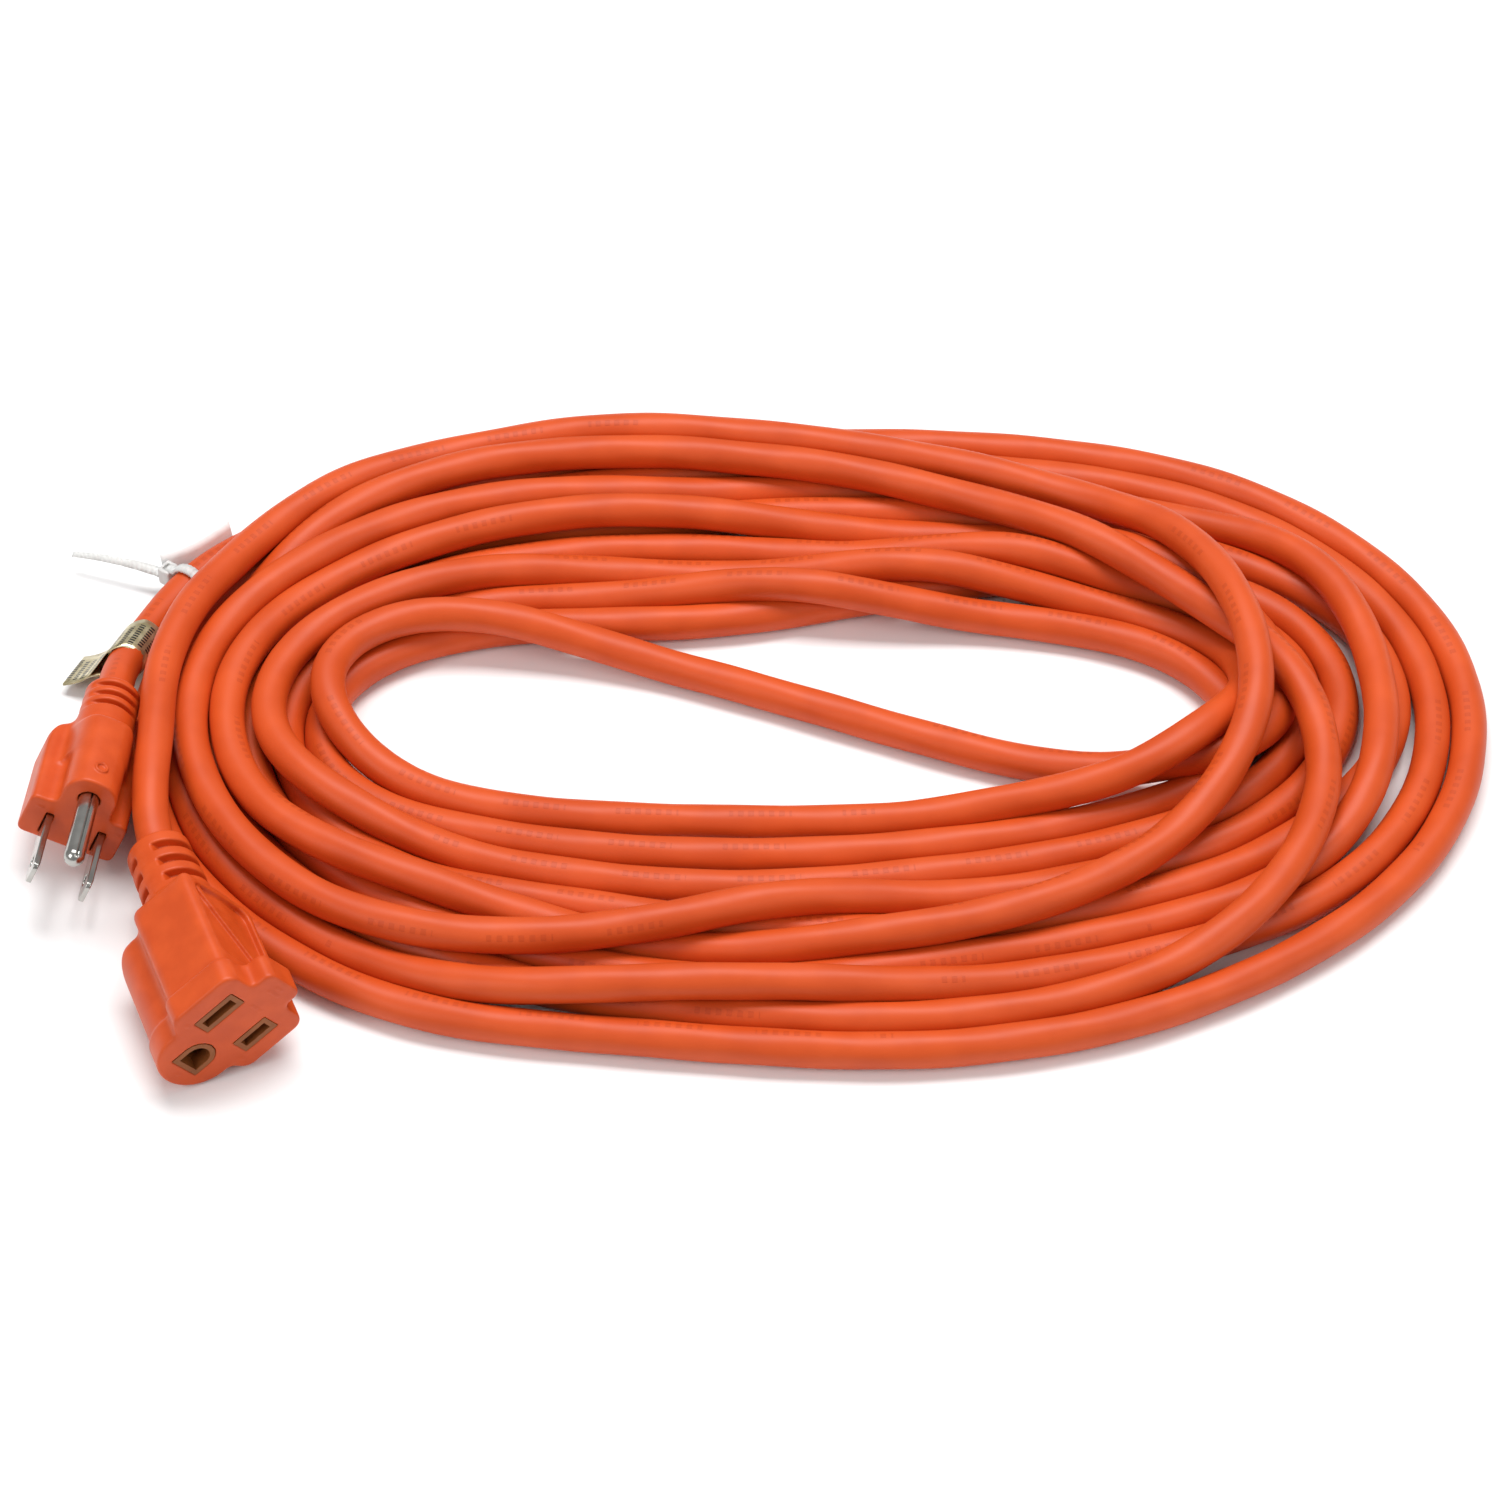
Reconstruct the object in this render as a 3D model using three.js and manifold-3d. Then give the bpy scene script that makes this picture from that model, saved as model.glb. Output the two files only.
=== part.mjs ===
// A 7.6 m three-wire extension cord, coiled flat on the ground.
// Millimetres, +Z up. The origin is on the ground under the middle of the coil.
// The plug and the connector lie at the left end of the coil and face the front (-Y).
import * as THREE from "three";
import { mergeVertices } from "three/addons/utils/BufferGeometryUtils.js";
import Module from "manifold-3d";

const wasm = await Module();
wasm.setup();

// ---- driving dimensions -------------------------------------------------------------
const GAP = 0.3;                 // clearance between pieces that touch
const CORD_D = 8.6;              // jacket of a 16/3 cord
const CORD_SIDES = 12;

const BLADE_PITCH = 12.7;        // between the two blades, and between the two slots
const GROUND_OFFSET = 11.9;      // from the blade line to the ground pin
const BLADE = { width: 6.35, thick: 1.52, length: 17.3, hole: 3.2, holeFromTip: 4.6, chamfer: 1.4 };
const GROUND_PIN = { dia: 4.75, length: 21 };

const CORE = { copper: 1.3, bore: 1.9, outside: 2.9, pitch: 3.25 };   // one insulated conductor
const CORE_BORE_R = 3.65;        // bore of a strain relief, around the three conductors

// plug: x across the blades, y toward the ground pin, z out of the face
const PLUG = {
  origin: [-160, -36.1, 11], heading: -92.7, tilt: 4.8, roll: 26.1,
  halfWidth: 11.7, bottom: -5.2, shoulder: 7.6, humpR: 6.3, humpLength: 23.5,
  bodyLength: 29, rearCorner: 9.5, reliefAxis: 8, reliefStart: 20, reliefEnd: 40, reliefR: [6.3, 5.4],
  grooves: [31.2, 34.2, 37.2], grooveDepth: 0.8,
};
// connector: x across the slots, y toward the ground hole, z out of the face
const CONN = {
  origin: [-115.4, -96.9, 16.2], heading: -67.1, tilt: 1.2, roll: -124.1,
  halfWidth: 12.9, top: -8.8, bottom: 8.6, lobeR: 8.7, lobeY: 11.7, lobeLength: 33,
  tabHalf: 5.6, tabY: -14.7, flange: 7, flangeLip: 0.6, bodyLength: 38,
  rearCorner: 6, reliefAxis: 1.5, reliefStart: 34, reliefEnd: 57, reliefR: [7, 6],
  grooves: [43, 47.5, 52], grooveDepth: 1,
};
const SLOT = { thick: 2.2, neutral: 8.4, line: 7.0, groundW: 5.6, rim: 1.2 };

// coil: an oval ring that holds the wound length, wider at the front than at the back
const COIL = {
  centre: [17, 2], half: [155.5, 101.5], window: [3, 12], windowHalf: [103, 31],
  squareness: 2.15, height: 22, edge: 6,
};

// ---- shapes and solids --------------------------------------------------------------
function solid(geometry) {
  const bare = geometry.clone();
  bare.deleteAttribute("normal");
  bare.deleteAttribute("uv");
  const merged = mergeVertices(bare, 1e-4);
  const index = merged.index.array;
  const position = merged.attributes.position.array;
  return new wasm.Manifold(new wasm.Mesh({
    numProp: 3, vertProperties: new Float32Array(position), triVerts: new Uint32Array(index),
  }));
}

function placed(geometry, x, y, z) {
  return geometry.clone().translate(x, y, z);
}

function geometryOf(manifold) {
  const mesh = manifold.getMesh();
  const geometry = new THREE.BufferGeometry();
  geometry.setAttribute("position", new THREE.BufferAttribute(new Float32Array(mesh.vertProperties), 3));
  geometry.setIndex(new THREE.BufferAttribute(new Uint32Array(mesh.triVerts), 1));
  geometry.computeVertexNormals();
  return geometry;
}

const unite = (...pieces) => pieces.reduce((a, b) => a.add(b));
const cut = (body, ...tools) => tools.reduce((a, b) => a.subtract(b), body);

function roundedRect(x0, x1, y0, y1, r) {
  const shape = new THREE.Shape();
  shape.moveTo(x0 + r, y0);
  shape.lineTo(x1 - r, y0);
  shape.absarc(x1 - r, y0 + r, r, -Math.PI / 2, 0, false);
  shape.lineTo(x1, y1 - r);
  shape.absarc(x1 - r, y1 - r, r, 0, Math.PI / 2, false);
  shape.lineTo(x0 + r, y1);
  shape.absarc(x0 + r, y1 - r, r, Math.PI / 2, Math.PI, false);
  shape.lineTo(x0, y0 + r);
  shape.absarc(x0 + r, y0 + r, r, Math.PI, 1.5 * Math.PI, false);
  return shape;
}

// a shape in the x-y plane pushed out from z0 to z1
function prism(shape, z0, z1, curveSegments = 4) {
  const geometry = new THREE.ExtrudeGeometry(shape, { depth: z1 - z0, bevelEnabled: false, curveSegments });
  return geometry.translate(0, 0, z0);
}

// an outline drawn in x-z, pushed along y
function sidePrism(points, y0, y1, curveSegments = 5) {
  const shape = points instanceof THREE.Shape ? points : new THREE.Shape(points.map((p) => new THREE.Vector2(...p)));
  const geometry = new THREE.ExtrudeGeometry(shape, { depth: y1 - y0, bevelEnabled: false, curveSegments });
  return geometry.rotateX(Math.PI / 2).translate(0, y1, 0);
}

// an outline drawn in y-z, pushed along x
function crossPrism(points, x0, x1) {
  const shape = new THREE.Shape(points.map(([y, z]) => new THREE.Vector2(-z, y)));
  const geometry = new THREE.ExtrudeGeometry(shape, { depth: x1 - x0, bevelEnabled: false });
  return geometry.rotateY(Math.PI / 2).translate(x0, 0, 0);
}

function box(x0, x1, y0, y1, z0, z1) {
  return placed(new THREE.BoxGeometry(x1 - x0, y1 - y0, z1 - z0), (x0 + x1) / 2, (y0 + y1) / 2, (z0 + z1) / 2);
}

// a profile of [radius, z] pairs turned about the z axis; it starts and ends on the axis
function turned(profile, sides, x = 0, y = 0) {
  const points = profile.map(([r, z]) => new THREE.Vector2(r, z));
  return new THREE.LatheGeometry(points, sides).rotateX(Math.PI / 2).translate(x, y, 0);
}

function rod(r, z0, z1, sides, x = 0, y = 0) {
  return turned([[0, z0], [r, z0], [r, z1], [0, z1]], sides, x, y);
}

function circle(r, sides, hole = 0) {
  const ring = (radius) => Array.from({ length: sides }, (_, i) => {
    const a = (2 * Math.PI * i) / sides;
    return new THREE.Vector2(radius * Math.cos(a), radius * Math.sin(a));
  });
  const shape = new THREE.Shape(ring(r));
  if (hole > 0) shape.holes.push(new THREE.Path(ring(hole)));
  return shape;
}

function along(section, path, steps) {
  return new THREE.ExtrudeGeometry(section, { steps, extrudePath: path, bevelEnabled: false });
}

// ---- placing ------------------------------------------------------------------------
// z runs out of the face: heading is its compass angle, tilt its climb, roll its turn
function facing({ origin, heading, tilt, roll }) {
  const h = THREE.MathUtils.degToRad(heading);
  const t = THREE.MathUtils.degToRad(tilt);
  const r = THREE.MathUtils.degToRad(roll);
  const out = new THREE.Vector3(Math.cos(h) * Math.cos(t), Math.sin(h) * Math.cos(t), Math.sin(t));
  const side = new THREE.Vector3(0, 0, 1).cross(out).normalize();
  const level = new THREE.Vector3().crossVectors(out, side);
  const y = level.clone().multiplyScalar(Math.cos(r)).addScaledVector(side, Math.sin(r));
  const x = new THREE.Vector3().crossVectors(y, out);
  const group = new THREE.Group();
  group.quaternion.setFromRotationMatrix(new THREE.Matrix4().makeBasis(x, y, out));
  group.position.set(...origin);
  group.updateMatrixWorld(true);
  return group;
}

const COLOURS = {
  vinyl: [0xe8562a, 0.45, 0], brass: [0xc9a24b, 0.3, 0.9], nickel: [0xc4c2bb, 0.25, 0.9],
  copper: [0xb8673a, 0.35, 0.9], insert: [0xc98a4a, 0.55, 0], bridge: [0xe6e1d6, 0.6, 0],
  black: [0x1d1d1f, 0.5, 0], white: [0xe9e9e6, 0.5, 0], green: [0x2f7d3c, 0.5, 0],
  foil: [0xcdb27a, 0.35, 0.6], nylon: [0xf1f1ee, 0.4, 0], paper: [0xf7f7f5, 0.8, 0],
};

function node(parent, name, finish, piece) {
  const [color, roughness, metalness] = COLOURS[finish];
  const geometry = piece instanceof THREE.BufferGeometry ? piece : geometryOf(piece);
  const mesh = new THREE.Mesh(geometry, new THREE.MeshStandardMaterial({ color, roughness, metalness }));
  mesh.name = name;
  parent.add(mesh);
}

// ---- conductors ---------------------------------------------------------------------
// The three conductors of a cord end, and the side of the plug that each is crimped on.
const CONDUCTORS = [
  { name: "line", finish: "black", side: 1 },
  { name: "neutral", finish: "white", side: -1 },
  { name: "ground", finish: "green", side: 0 },
];

function crimpPoint(side) {
  return side === 0 ? [0, GROUND_OFFSET] : [(side * BLADE_PITCH) / 2, 0];
}

function borePoint(side, axisY) {
  const ring = CORE.pitch / Math.sqrt(3);
  return side === 0 ? [0, axisY + ring] : [(side * CORE.pitch) / 2, axisY - ring / 2];
}

// a conductor runs straight out of its crimp, bends over to the bore and leaves through it
function conductorPath(side, axisY, zCrimp, zBend, zBore, zEnd) {
  const [cx, cy] = crimpPoint(side);
  const [bx, by] = borePoint(side, axisY);
  const at = (x, y, z) => new THREE.Vector3(x, y, z);
  const path = new THREE.CurvePath();
  if (zCrimp > zBend) path.add(new THREE.LineCurve3(at(cx, cy, zCrimp), at(cx, cy, zBend)));
  const pull = (zBend - zBore) / 2;
  path.add(new THREE.CubicBezierCurve3(
    at(cx, cy, zBend), at(cx, cy, zBend - pull), at(bx, by, zBore + pull), at(bx, by, zBore)));
  path.add(new THREE.LineCurve3(at(bx, by, zBore), at(bx, by, zEnd)));
  return path;
}

function addConductors(group, prefix, flip, axisY, zCrimp, zBend, zBore, zEnd) {
  for (const { name, finish, side } of CONDUCTORS) {
    const wire = conductorPath(side * flip, axisY, zCrimp, zBend, zBore, zEnd);
    const sleeve = conductorPath(side * flip, axisY, zBend, zBend, zBore, zEnd);
    node(group, `${prefix}_${name}_wire`, "copper", along(circle(CORE.copper / 2, 6), wire, 12));
    node(group, `${prefix}_${name}_insulation`, finish, along(circle(CORE.outside / 2, 8, CORE.bore / 2), sleeve, 9));
  }
}

function crimpBarrel(side, z0, z1) {
  const [x, y] = crimpPoint(side);
  return cut(solid(rod(1.5, z0, z1, 10, x, y)), solid(rod(CORE.bore / 2, z0 - 1, z1 - 0.8, 10, x, y)));
}

// space for the conductors behind the crimps: it narrows in both directions into the bore
function wiringSpace(wide, low, high, zFront, zTaper, zBore, axisY) {
  const r = CORE_BORE_R;
  const plan = sidePrism([[-wide, zFront], [wide, zFront], [wide, zTaper], [r, zBore], [-r, zBore], [-wide, zTaper]], -30, 30);
  const rise = crossPrism([[low, zFront], [high, zFront], [high, zTaper], [axisY + r, zBore], [axisY - r, zBore],
    [low, zTaper]], -30, 30);
  return solid(plan).intersect(solid(rise));
}

// tapered sleeve with three grooves, starting inside the body
function strainRelief({ reliefR: [r0, r1], reliefStart, reliefEnd, reliefAxis, grooves, grooveDepth }) {
  const [z0, z1] = [-reliefStart, -reliefEnd];
  const radius = (z) => THREE.MathUtils.mapLinear(z, z0, z1, r0, r1);
  const profile = [[0, z0], [r0, z0]];
  for (const back of grooves) {
    profile.push([radius(-back + 0.9), -back + 0.9], [radius(-back) - grooveDepth, -back + 0.6]);
    profile.push([radius(-back) - grooveDepth, -back - 0.6], [radius(-back - 0.9), -back - 0.9]);
  }
  profile.push([r1, z1 + 0.8], [r1 - 0.8, z1], [0, z1]);
  return solid(turned(profile.reverse(), 20, 0, reliefAxis));
}

// ---- plug ---------------------------------------------------------------------------
const plug = facing(PLUG);
const BRIDGE = { halfWidth: 9.6, low: -3.9, high: 5.2, towerHalf: 4, towerTop: 15.2, front: -3, rear: -12 };

function bridgeBlock(grow) {
  const { halfWidth, low, high, towerHalf, towerTop, front, rear } = BRIDGE;
  const slab = box(-halfWidth - grow, halfWidth + grow, low - grow, high + grow, rear - grow, front + grow);
  const tower = box(-towerHalf - grow, towerHalf + grow, 0, towerTop + grow, rear - grow, front + grow);
  return unite(solid(slab), solid(tower));
}

function pinHoles(z0, z1) {
  const w = BLADE.thick / 2 + GAP;
  const h = BLADE.width / 2 + GAP;
  const slots = [-1, 1].map((s) => {
    const x = (s * BLADE_PITCH) / 2;
    return solid(box(x - w, x + w, -h, h, z0, z1));
  });
  return unite(...slots, solid(rod(GROUND_PIN.dia / 2 + GAP, z0, z1, 16, 0, GROUND_OFFSET)));
}

function plugBody() {
  const { halfWidth, bottom, shoulder, humpR, humpLength, bodyLength, rearCorner, reliefAxis, reliefEnd } = PLUG;
  const base = solid(prism(roundedRect(-halfWidth, halfWidth, bottom, shoulder, 1.5), -bodyLength, 0));
  const plan = solid(sidePrism(roundedRect(-halfWidth, halfWidth, -bodyLength, 20, rearCorner), -30, 30));
  const hump = solid(prism(roundedRect(-humpR, humpR, 0, GROUND_OFFSET + humpR, humpR), -humpLength, 0, 7));
  const relief = strainRelief(PLUG);
  const wiring = wiringSpace(8.8, -2.6, 5.5, BRIDGE.rear, -20, -27.2, reliefAxis);
  const upper = wiringSpace(4.4, -2.6, 13.8, BRIDGE.rear, -18, -27.2, reliefAxis);
  const bore = solid(rod(CORE_BORE_R, -reliefEnd - 1, -25, 16, 0, reliefAxis));
  return cut(unite(base.intersect(plan), hump, relief), bridgeBlock(GAP), pinHoles(-4, 1), wiring, upper, bore);
}

// flat blade with a locking hole and a chamfered tip, and a barrel crimped on its wire
function plugBlade(side) {
  const { width, thick, length, hole, holeFromTip, chamfer } = BLADE;
  const h = width / 2;
  const outline = new THREE.Shape([[-h, -12.2], [h, -12.2], [h, length - chamfer], [h - chamfer, length],
    [chamfer - h, length], [-h, length - chamfer]].map(([y, z]) => new THREE.Vector2(-z, y)));
  const ring = circle(hole / 2, 12).getPoints().map((p) => p.add(new THREE.Vector2(holeFromTip - length, 0)));
  outline.holes.push(new THREE.Path(ring));
  const strip = new THREE.ExtrudeGeometry(outline, { depth: thick, bevelEnabled: false })
    .rotateY(Math.PI / 2).translate((side * BLADE_PITCH - thick) / 2, 0, 0);
  return unite(solid(strip), crimpBarrel(side, -17.5, -12.05));
}

function groundPin() {
  const r = GROUND_PIN.dia / 2;
  const tip = [0.25, 0.5, 0.75].map((f) => {
    const a = (f * Math.PI) / 2;
    return [r * Math.cos(a), GROUND_PIN.length - r + r * Math.sin(a)];
  });
  const profile = [[0, -12.2], [r, -12.2], [r, GROUND_PIN.length - r], ...tip, [0, GROUND_PIN.length]];
  return unite(solid(turned(profile, 16, 0, GROUND_OFFSET)), crimpBarrel(0, -17.5, -12.05));
}

node(plug, "plug_body", "vinyl", plugBody());
node(plug, "plug_bridge", "bridge", cut(bridgeBlock(0), pinHoles(-20, 1)));
node(plug, "plug_line_blade", "nickel", plugBlade(1));
node(plug, "plug_neutral_blade", "nickel", plugBlade(-1));
node(plug, "plug_ground_pin", "nickel", groundPin());
addConductors(plug, "plug", 1, PLUG.reliefAxis, -13.5, -17.9, -27, -PLUG.reliefEnd);

// ---- connector ----------------------------------------------------------------------
const connector = facing(CONN);
const INSERT = { halfWidth: 10.4, low: -5.8, high: 6, towerHalf: 5.4, towerTop: 17, front: -2.5, rear: -22 };
// seen from its face the connector is the plug's mirror image, so its neutral is on +x
const RECEPTACLE = [
  { name: "line", side: -1, width: SLOT.line },
  { name: "neutral", side: 1, width: SLOT.neutral },
];

function groundHole(grow) {
  const r = SLOT.groundW / 2 + grow;
  const shape = new THREE.Shape();
  shape.moveTo(r, GROUND_OFFSET + 3 + grow);
  shape.lineTo(r, GROUND_OFFSET);
  for (let i = 1; i < 8; i += 1) {
    const a = (-Math.PI * i) / 8;
    shape.lineTo(r * Math.cos(a), GROUND_OFFSET + r * Math.sin(a));
  }
  shape.lineTo(-r, GROUND_OFFSET);
  shape.lineTo(-r, GROUND_OFFSET + 3 + grow);
  return shape;
}

function openings(grow, z0, z1) {
  const slots = RECEPTACLE.map(({ side, width }) => {
    const x = (side * BLADE_PITCH) / 2;
    const w = SLOT.thick / 2 + grow;
    return solid(box(x - w, x + w, -width / 2 - grow, width / 2 + grow, z0, z1));
  });
  return unite(...slots, solid(prism(groundHole(grow), z0, z1)));
}

function insertBlock(grow) {
  const { halfWidth, low, high, towerHalf, towerTop, front, rear } = INSERT;
  const slab = box(-halfWidth - grow, halfWidth + grow, low - grow, high + grow, rear - grow, front + grow);
  const tower = box(-towerHalf - grow, towerHalf + grow, 0, towerTop + grow, rear - grow, front + grow);
  return unite(solid(slab), solid(tower), openings(SLOT.rim + grow, front - 1, grow > 0 ? 1 : 0));
}

function faceOutline(grow) {
  const { halfWidth, top, bottom, lobeR, lobeY } = CONN;
  const slab = roundedRect(-halfWidth - grow, halfWidth + grow, top - grow, bottom + grow, 3);
  const lobe = roundedRect(-lobeR - grow, lobeR + grow, 0, lobeY + lobeR + grow, lobeR);
  return { slab, lobe };
}

function connectorBody() {
  const { halfWidth, flange, flangeLip, bodyLength, tabHalf, tabY, lobeLength, rearCorner } = CONN;
  const plain = faceOutline(0);
  const proud = faceOutline(flangeLip);
  const plan = solid(sidePrism(roundedRect(-halfWidth - 1, halfWidth + 1, -bodyLength, 20, rearCorner), -30, 30));
  const slab = solid(prism(plain.slab, -bodyLength, -1)).intersect(plan);
  const lobe = solid(prism(plain.lobe, -lobeLength, -1, 7));
  const tab = solid(prism(roundedRect(-tabHalf, tabHalf, tabY, 0, 2), -flange, 0));
  const rim = unite(solid(prism(proud.slab, -flange, 0)), solid(prism(proud.lobe, -flange, 0, 7)), tab);
  const relief = strainRelief(CONN);
  const wiring = wiringSpace(8.6, -2.4, 6, INSERT.rear, -27, -37, CONN.reliefAxis);
  const upper = wiringSpace(4.6, -2.4, 13.8, INSERT.rear, -27, -37, CONN.reliefAxis);
  const bore = solid(rod(CORE_BORE_R, -CONN.reliefEnd - 1, -36, 16, 0, CONN.reliefAxis));
  return cut(unite(slab, lobe, rim, relief), insertBlock(GAP), wiring, upper, bore);
}

// each pocket holds one contact and is open at the back for its crimp
function contactPockets() {
  const pockets = RECEPTACLE.map(({ side }) => {
    const x = (side * BLADE_PITCH) / 2;
    return solid(box(x - 2.1, x + 2.1, -4.4, 4.4, -30, -3.5));
  });
  return unite(...pockets, solid(rod(3.7, -30, -3.5, 16, 0, GROUND_OFFSET)));
}

// two spring leaves joined by a web, with a crimp barrel behind
function bladeContact(side) {
  const x = (side * BLADE_PITCH) / 2;
  const fork = [[-1.7, -4.5], [-1.2, -4.5], [-1, -16.5], [1, -16.5], [1.2, -4.5], [1.7, -4.5], [1.7, -17.3], [-1.7, -17.3]];
  const leaves = placed(sidePrism(fork, -3, 3), x, 0, 0);
  return unite(solid(leaves), crimpBarrel(side, -22, -17));
}

function groundContact() {
  const outer = solid(rod(3.3, -17.3, -4.5, 16, 0, GROUND_OFFSET));
  return unite(cut(outer, solid(rod(2.7, -16.5, -4, 16, 0, GROUND_OFFSET))), crimpBarrel(0, -22, -17));
}

node(connector, "connector_body", "vinyl", connectorBody());
node(connector, "connector_insert", "insert", cut(insertBlock(0), openings(0, -4, 1), contactPockets()));
for (const { name, side } of RECEPTACLE) {
  node(connector, `connector_${name}_contact`, "brass", bladeContact(side));
}
node(connector, "connector_ground_contact", "brass", groundContact());
addConductors(connector, "connector", -1, CONN.reliefAxis, -18.5, -22.4, -38, -CONN.reliefEnd);

// ---- coil and leads -----------------------------------------------------------------
function oval([cx, cy], [a, b], grow, count) {
  const power = 2 / COIL.squareness;
  const bend = (v) => Math.sign(v) * Math.abs(v) ** power;
  return Array.from({ length: count }, (_, i) => {
    const t = (2 * Math.PI * i) / count;
    return new THREE.Vector2(cx + (a + grow) * bend(Math.cos(t)), cy + (b + grow) * bend(Math.sin(t)));
  });
}

function coilRing(grow) {
  const { centre, half, window, windowHalf, height, edge } = COIL;
  const layer = (inset, z0, z1) => {
    const shape = new THREE.Shape(oval(centre, half, grow - inset, 56));
    shape.holes.push(new THREE.Path(oval(window, windowHalf, inset - grow, 40)));
    return solid(prism(shape, z0, z1));
  };
  const low = layer(0, 0, height - edge + grow);
  return unite(low, layer(edge / 3, 1, height - edge / 3 + grow), layer(edge, 1, height + grow));
}

const world = new THREE.Group();
const leadAt = (group, x, y, z) => new THREE.Vector3(x, y, z).applyMatrix4(group.matrixWorld);

function lead(points, steps) {
  const path = new THREE.CatmullRomCurve3(points.map((p) => (p.isVector3 ? p : new THREE.Vector3(...p))), false, "centripetal");
  return cut(solid(along(circle(CORD_D / 2, CORD_SIDES), path, steps)), coilRing(GAP)).decompose()
    .reduce((a, b) => (a.volume() > b.volume() ? a : b));
}

const plugExit = (back) => leadAt(plug, 0, PLUG.reliefAxis, -PLUG.reliefEnd - back);
const connectorExit = (back) => leadAt(connector, 0, CONN.reliefAxis, -CONN.reliefEnd - back);

// from the plug the lead runs down to the ground and back along the left of the coil
const PLUG_LEAD = [plugExit(GAP), plugExit(5), [-155.5, 15, 11], [-154, 23, 8.6], [-151, 33, 6.6], [-146, 45, 6.1],
  [-138, 57, 5.9], [-127, 68, 4.6], [-113, 75, 4.4], [-98, 78, 4.4]];
// from the connector the lead lies along the outside of the coil and joins its back
const CONNECTOR_LEAD = [connectorExit(GAP), connectorExit(5), [-141.6, -36, 16.2], [-142.3, -24, 17.5],
  [-142.5, -12, 17.5], [-143.2, 1, 17.5], [-143.4, 14, 17.2], [-141, 26, 17], [-136.5, 39, 16.5], [-129, 51, 16],
  [-119, 60, 16], [-108, 67, 16]];

node(world, "plug_lead_jacket", "vinyl", lead(PLUG_LEAD, 12));
node(world, "connector_lead_jacket", "vinyl", lead(CONNECTOR_LEAD, 16));
node(world, "cord_coil", "vinyl", coilRing(0));

// ---- label, tie and tag on the plug lead --------------------------------------------
const LABEL = { origin: [-152.85, 27, 7.75], heading: 73.3, tilt: -11.5, roll: 10, width: 12.4, flag: 10, foil: 0.3 };
const TIE = { origin: [-142, 51.2, 6], heading: 56, tilt: -0.8, roll: 0, width: 2.5, strap: 1.1, head: 4.4, tail: 21 };
const TAG = { origin: [-141.8, 64.2, 5.2], heading: 36, tilt: 0, roll: 8, length: 20, height: 9.5, paper: 0.3 };

// a foil sleeve around the lead whose ends are stuck together as a flag
function ratingLabel({ width, flag, foil }) {
  const inner = CORD_D / 2 + 0.5;
  const ring = solid(along(circle(inner + foil, 12, inner),
    new THREE.LineCurve3(new THREE.Vector3(0, 0, -width / 2), new THREE.Vector3(0, 0, width / 2)), 1));
  return unite(ring, solid(box(inner, inner + flag, -foil / 2, foil / 2, -width / 2, width / 2)));
}

// a strap loop around the lead, its locking head, and the loose end of the strap
function cableTie({ width, strap, head, tail }) {
  const inner = CORD_D / 2 + 0.35;
  const ring = solid(along(circle(inner + strap, 14, inner),
    new THREE.LineCurve3(new THREE.Vector3(0, 0, -width / 2), new THREE.Vector3(0, 0, width / 2)), 1));
  const block = solid(box(inner + 0.2, inner + 0.2 + head, -1, head - 1, -head / 2, head / 2));
  const end = box(0, tail, 0, strap, -width / 2, width / 2).rotateZ(0.2).rotateY(0.5).translate(inner + 1, 0.3, 0);
  return unite(ring, block, solid(end));
}

const labelPlace = facing(LABEL);
node(labelPlace, "rating_label", "foil", ratingLabel(LABEL));
const tiePlace = facing(TIE);
node(tiePlace, "cable_tie", "nylon", cableTie(TIE));
const tagPlace = facing(TAG);
node(tagPlace, "paper_tag", "paper", box(-TAG.paper / 2, TAG.paper / 2, -TAG.height / 2, TAG.height / 2,
  -TAG.length / 2, TAG.length / 2));

world.add(plug, connector, labelPlace, tiePlace, tagPlace);
export default world;
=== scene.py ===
import math
from functools import reduce

import bmesh
import bpy
import numpy as np
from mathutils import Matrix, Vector


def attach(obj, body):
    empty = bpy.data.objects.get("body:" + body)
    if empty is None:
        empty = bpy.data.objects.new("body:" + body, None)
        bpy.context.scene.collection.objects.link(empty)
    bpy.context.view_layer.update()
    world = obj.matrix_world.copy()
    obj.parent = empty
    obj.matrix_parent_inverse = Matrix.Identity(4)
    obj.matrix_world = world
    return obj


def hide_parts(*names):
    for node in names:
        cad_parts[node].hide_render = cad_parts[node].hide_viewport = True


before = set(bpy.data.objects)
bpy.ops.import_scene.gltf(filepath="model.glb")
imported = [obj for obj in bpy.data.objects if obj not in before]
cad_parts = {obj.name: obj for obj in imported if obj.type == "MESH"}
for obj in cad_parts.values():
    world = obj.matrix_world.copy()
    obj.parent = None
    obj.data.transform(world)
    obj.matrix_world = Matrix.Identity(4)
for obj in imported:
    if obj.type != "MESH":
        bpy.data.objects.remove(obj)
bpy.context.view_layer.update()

MM = 0.001            # the helpers work in millimetres, Blender in metres
FLOOR_Z = -0.0002

# ---- camera and studio ---------------------------------------------------------------
scene = bpy.context.scene
scene.view_settings.view_transform = "Standard"


def aim(obj, target):
    obj.rotation_euler = (Vector(target) - obj.location).to_track_quat("-Z", "Y").to_euler()


camera = bpy.data.objects.new("camera", bpy.data.cameras.new("camera"))
scene.collection.objects.link(camera)
camera.location = (-0.0028, -0.6145, 0.660)
camera.data.lens = 90.0
camera.data.sensor_width = 36.0
camera.data.clip_start = 0.01
aim(camera, (-0.0028, 0.0005, 0.0))
scene.camera = camera

world = bpy.data.worlds.new("studio")
world.use_nodes = True
world.node_tree.nodes["Background"].inputs["Color"].default_value = (1.0, 1.0, 1.0, 1.0)
world.node_tree.nodes["Background"].inputs["Strength"].default_value = 0.38
scene.world = world


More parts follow.
